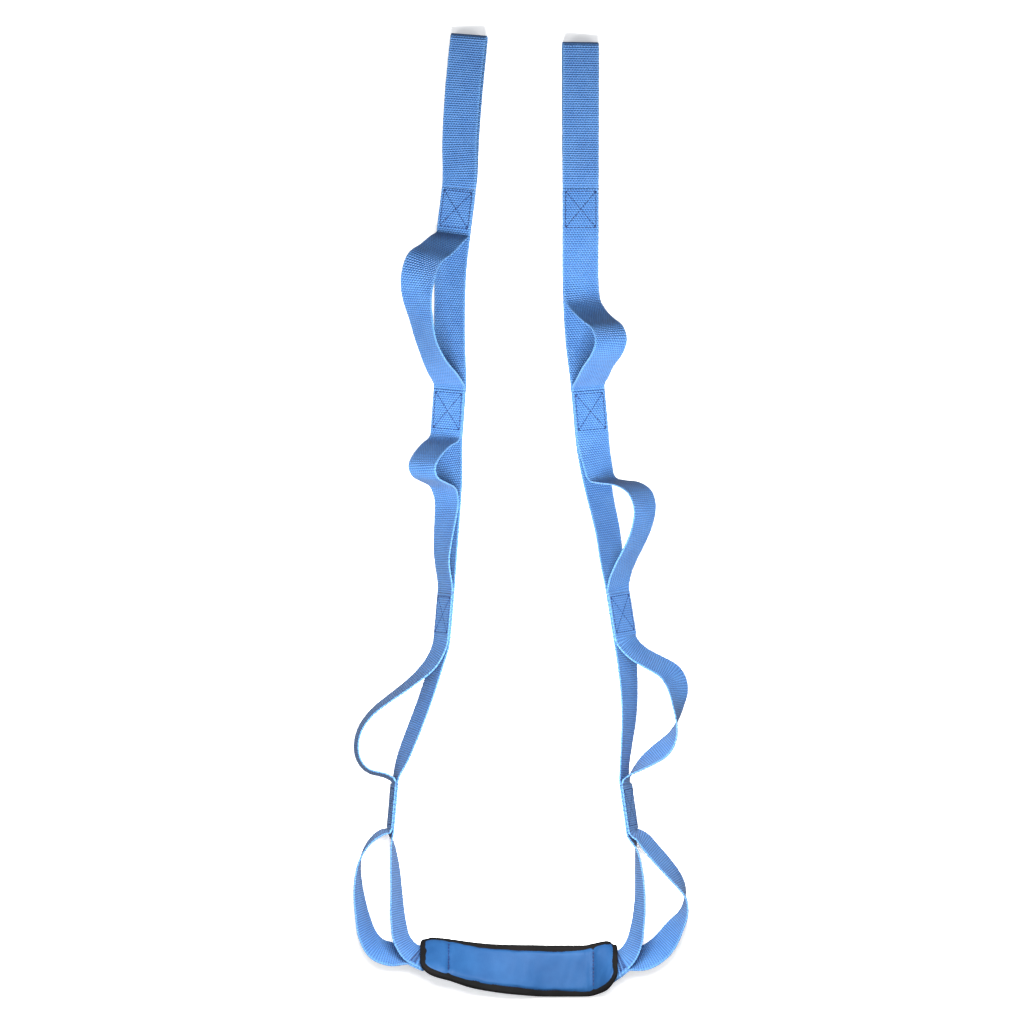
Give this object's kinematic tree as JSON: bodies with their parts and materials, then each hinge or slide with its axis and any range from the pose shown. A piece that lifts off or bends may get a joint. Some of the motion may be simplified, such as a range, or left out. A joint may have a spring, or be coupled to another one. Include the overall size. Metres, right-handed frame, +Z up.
{
  "type": "stretching strap",
  "caption": "Flat webbing stretching strap with a padded centre, slack sewn loops along both arms and a hand loop at each end, lying in a long U.",
  "frame": {"origin": "on the surface it lies on, at the middle of the short stretch where the strap under the pad lies flat on that surface", "axes": "+Y from the pad towards the two hand loops, +Z up, +X to the right of the pad seen from above with the hand loops away from the viewer"},
  "size_m": [0.352, 1.0116, 0.0777],
  "materials": {
    "webbing_blue": "woven webbing, matte with a soft sheen",
    "thread_navy": "polyester sewing thread",
    "pad_nylon": "smooth nylon cloth with slight wrinkles",
    "pad_foam": "soft foam, hidden inside the cover",
    "binding_tape": "folded woven tape, matte"
  },
  "bodies": {
    "pad": {"base_strap_centre": "webbing_blue", "pad_back_cover": "pad_nylon", "pad_binding": "binding_tape", "pad_binding_stitch": "thread_navy", "pad_cross_seams": "thread_navy", "pad_face_cover": "pad_nylon", "pad_foam": "pad_foam", "left_loop_1": "webbing_blue", "left_box_stitch_1": "thread_navy", "left_bar_tack": "thread_navy", "right_loop_1": "webbing_blue", "right_box_stitch_1": "thread_navy", "right_bar_tack": "thread_navy"},
    "left_span_2": {"left_base_strap_2": "webbing_blue", "left_loop_2": "webbing_blue", "left_box_stitch_2": "thread_navy"},
    "left_span_3": {"left_base_strap_3": "webbing_blue", "left_loop_3": "webbing_blue", "left_box_stitch_3": "thread_navy"},
    "left_span_4": {"left_base_strap_4": "webbing_blue", "left_loop_4": "webbing_blue", "left_box_stitch_4": "thread_navy"},
    "left_hand": {"left_hand_loop": "webbing_blue"},
    "right_span_2": {"right_base_strap_2": "webbing_blue", "right_loop_2": "webbing_blue", "right_box_stitch_2": "thread_navy"},
    "right_span_3": {"right_base_strap_3": "webbing_blue", "right_loop_3": "webbing_blue", "right_box_stitch_3": "thread_navy"},
    "right_span_4": {"right_base_strap_4": "webbing_blue", "right_loop_4": "webbing_blue", "right_box_stitch_4": "thread_navy"},
    "right_hand": {"right_hand_loop": "webbing_blue"}
  },
  "joints": [
    {"name": "left_fold_1", "type": "hinge", "parent": "pad", "child": "left_span_2", "pos_m": [-0.17989, 0.197, 0.02064], "axis": [0.1386, -0.0121, 0.9903], "range_deg": [0, 30]},
    {"name": "left_fold_2", "type": "hinge", "parent": "left_span_2", "child": "left_span_3", "pos_m": [-0.12582, 0.39799, 0.01991], "axis": [0.4052, -0.0354, 0.9135], "range_deg": [0, 30]},
    {"name": "left_fold_3", "type": "hinge", "parent": "left_span_3", "child": "left_span_4", "pos_m": [-0.12183, 0.61193, 0.0152], "axis": [0.8627, -0.0778, 0.4997], "range_deg": [0, 45]},
    {"name": "left_fold_4", "type": "hinge", "parent": "left_span_4", "child": "left_hand", "pos_m": [-0.11195, 0.82285, 0.02535], "axis": [0.9195, -0.1195, 0.3745], "range_deg": [0, 25]},
    {"name": "right_fold_1", "type": "hinge", "parent": "pad", "child": "right_span_2", "pos_m": [0.06261, 0.1959, 0.02028], "axis": [0.273, 0.0384, -0.9613], "range_deg": [0, 30]},
    {"name": "right_fold_2", "type": "hinge", "parent": "right_span_2", "child": "right_span_3", "pos_m": [0.05403, 0.39883, 0.0191], "axis": [0.5944, 0.0941, -0.7986], "range_deg": [0, 30]},
    {"name": "right_fold_3", "type": "hinge", "parent": "right_span_3", "child": "right_span_4", "pos_m": [0.02283, 0.61095, 0.01341], "axis": [0.9029, 0.079, -0.4226], "range_deg": [0, 45]},
    {"name": "right_fold_4", "type": "hinge", "parent": "right_span_4", "child": "right_hand", "pos_m": [0.01511, 0.82295, 0.02483], "axis": [0.9945, 0.0036, -0.1045], "range_deg": [0, 25]}
  ]
}
